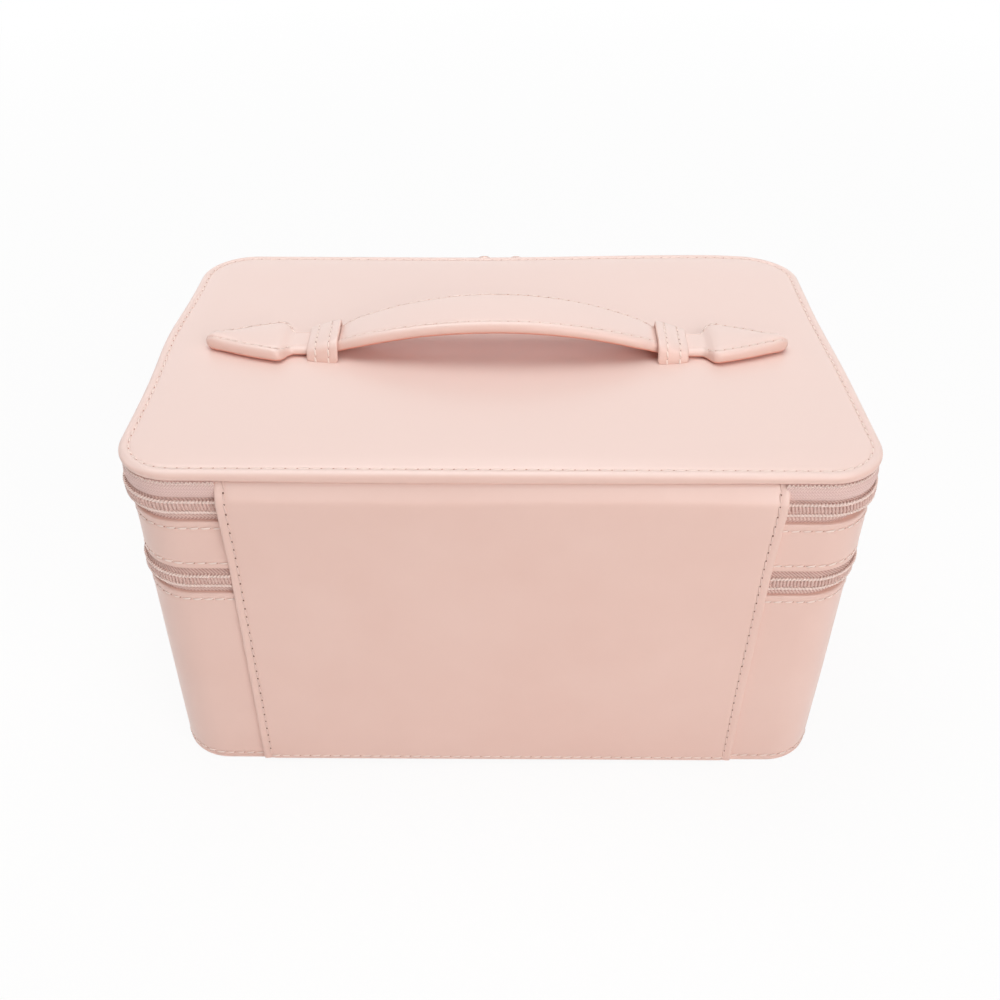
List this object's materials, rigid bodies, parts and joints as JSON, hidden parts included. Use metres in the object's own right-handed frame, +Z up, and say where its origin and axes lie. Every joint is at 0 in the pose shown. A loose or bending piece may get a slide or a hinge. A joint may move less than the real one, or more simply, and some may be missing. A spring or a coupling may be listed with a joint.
{
  "type": "makeup train case",
  "caption": "Boxy makeup train case: a deep base, a zipped tray level and a padded lid tip back on a leather spine; the strap handle slides in keepers.",
  "frame": {"origin": "centre of the flat bottom face that the case stands on", "axes": "+Z up; -Y is the side of the leather spine, which the picture shows; +Y is the side of the zipper pulls; +X is to the right as seen from the spine side"},
  "size_m": [0.254, 0.1714, 0.1574],
  "materials": {
    "leather": "smooth satin blush leather",
    "board": "pressed grey board",
    "lining": "fine twill lining",
    "padding": "soft felt padding",
    "band": "woven binding",
    "tape": "herringbone zipper tape",
    "coil": "nylon zipper coil",
    "cord": "twisted cord",
    "metal": "rose plated metal",
    "rivet": "plain steel",
    "mirror": "silvered glass"
  },
  "bodies": {
    "base": {"base_bottom_leather": "leather", "base_side_leather": "leather", "base_wall_board": "board", "base_floor_board": "board", "base_lining": "lining", "lower_zip_base_tape": "tape", "lower_zip_base_coil": "coil", "spine_base_panel": "leather"},
    "tray": {"tray_band_leather": "leather", "tray_wall_board": "board", "tray_floor_board": "board", "tray_lining": "lining", "tray_underside_lining": "lining", "lower_zip_tray_tape": "tape", "lower_zip_tray_coil": "coil", "upper_zip_tray_tape": "tape", "upper_zip_tray_coil": "coil", "spine_tray_panel": "leather"},
    "lid": {"lid_top_leather": "leather", "lid_rim_cord": "cord", "lid_padding": "padding", "lid_board": "board", "lid_wall_board": "board", "lid_band": "band", "lid_lining": "lining", "upper_zip_lid_tape": "tape", "upper_zip_lid_coil": "coil", "spine_lid_panel": "leather", "mirror": "mirror", "mirror_frame": "leather", "keeper_left": "leather", "keeper_right": "leather", "keeper_rivets": "rivet"},
    "handle_grip": {"handle_grip_leather": "leather", "handle_grip_padding": "padding", "handle_ramp_left": "leather", "handle_ramp_right": "leather"},
    "handle_end_left": {"handle_end_left": "leather"},
    "handle_end_right": {"handle_end_right": "leather"},
    "upper_slider_left": {"upper_slider_left": "metal"},
    "upper_pull_left": {"upper_pull_left": "metal"},
    "upper_slider_right": {"upper_slider_right": "metal"},
    "upper_pull_right": {"upper_pull_right": "metal"},
    "lower_slider_left": {"lower_slider_left": "metal"},
    "lower_pull_left": {"lower_pull_left": "metal"},
    "lower_slider_right": {"lower_slider_right": "metal"},
    "lower_pull_right": {"lower_pull_right": "metal"}
  },
  "joints": [
    {"name": "tray_hinge", "type": "hinge", "parent": "base", "child": "tray", "pos_m": [0, -0.083, 0.0932], "axis": [1, 0, 0], "range_deg": [0, 95]},
    {"name": "lid_hinge", "type": "hinge", "parent": "tray", "child": "lid", "pos_m": [0, -0.083, 0.1252], "axis": [1, 0, 0], "range_deg": [0, 100]},
    {"name": "handle_lift", "type": "slide", "parent": "lid", "child": "handle_grip", "axis": [0, 0, 1], "range_m": [0, 0.013], "deforming": ["handle_ramp_left", "handle_ramp_right"]},
    {"name": "handle_left_slide", "type": "slide", "parent": "handle_grip", "child": "handle_end_left", "axis": [0.3956, 0, -0.9184], "range_m": [0, 0.01418]},
    {"name": "handle_right_slide", "type": "slide", "parent": "handle_grip", "child": "handle_end_right", "axis": [-0.3956, 0, -0.9184], "range_m": [0, 0.01418]},
    {"name": "upper_left_zip", "type": "slide", "parent": "tray", "child": "upper_slider_left", "axis": [-1, 0, 0], "range_m": [0, 0.092]},
    {"name": "upper_left_pull_swing", "type": "hinge", "parent": "upper_slider_left", "child": "upper_pull_left", "pos_m": [-0.007, 0.0864, 0.1252], "axis": [-1, 0, 0], "range_deg": [0, 188]},
    {"name": "upper_right_zip", "type": "slide", "parent": "tray", "child": "upper_slider_right", "axis": [1, 0, 0], "range_m": [0, 0.092]},
    {"name": "upper_right_pull_swing", "type": "hinge", "parent": "upper_slider_right", "child": "upper_pull_right", "pos_m": [0.007, 0.0864, 0.1252], "axis": [-1, 0, 0], "range_deg": [0, 188]},
    {"name": "lower_left_zip", "type": "slide", "parent": "base", "child": "lower_slider_left", "axis": [-1, 0, 0], "range_m": [0, 0.092]},
    {"name": "lower_left_pull_swing", "type": "hinge", "parent": "lower_slider_left", "child": "lower_pull_left", "pos_m": [-0.007, 0.0864, 0.0932], "axis": [1, 0, 0], "range_deg": [0, 187]},
    {"name": "lower_right_zip", "type": "slide", "parent": "base", "child": "lower_slider_right", "axis": [1, 0, 0], "range_m": [0, 0.092]},
    {"name": "lower_right_pull_swing", "type": "hinge", "parent": "lower_slider_right", "child": "lower_pull_right", "pos_m": [0.007, 0.0864, 0.0932], "axis": [1, 0, 0], "range_deg": [0, 187]}
  ],
  "couplings": [
    {"joint": "handle_left_slide", "follows": "handle_lift", "ratio": 1.0888},
    {"joint": "handle_right_slide", "follows": "handle_lift", "ratio": 1.0888}
  ]
}
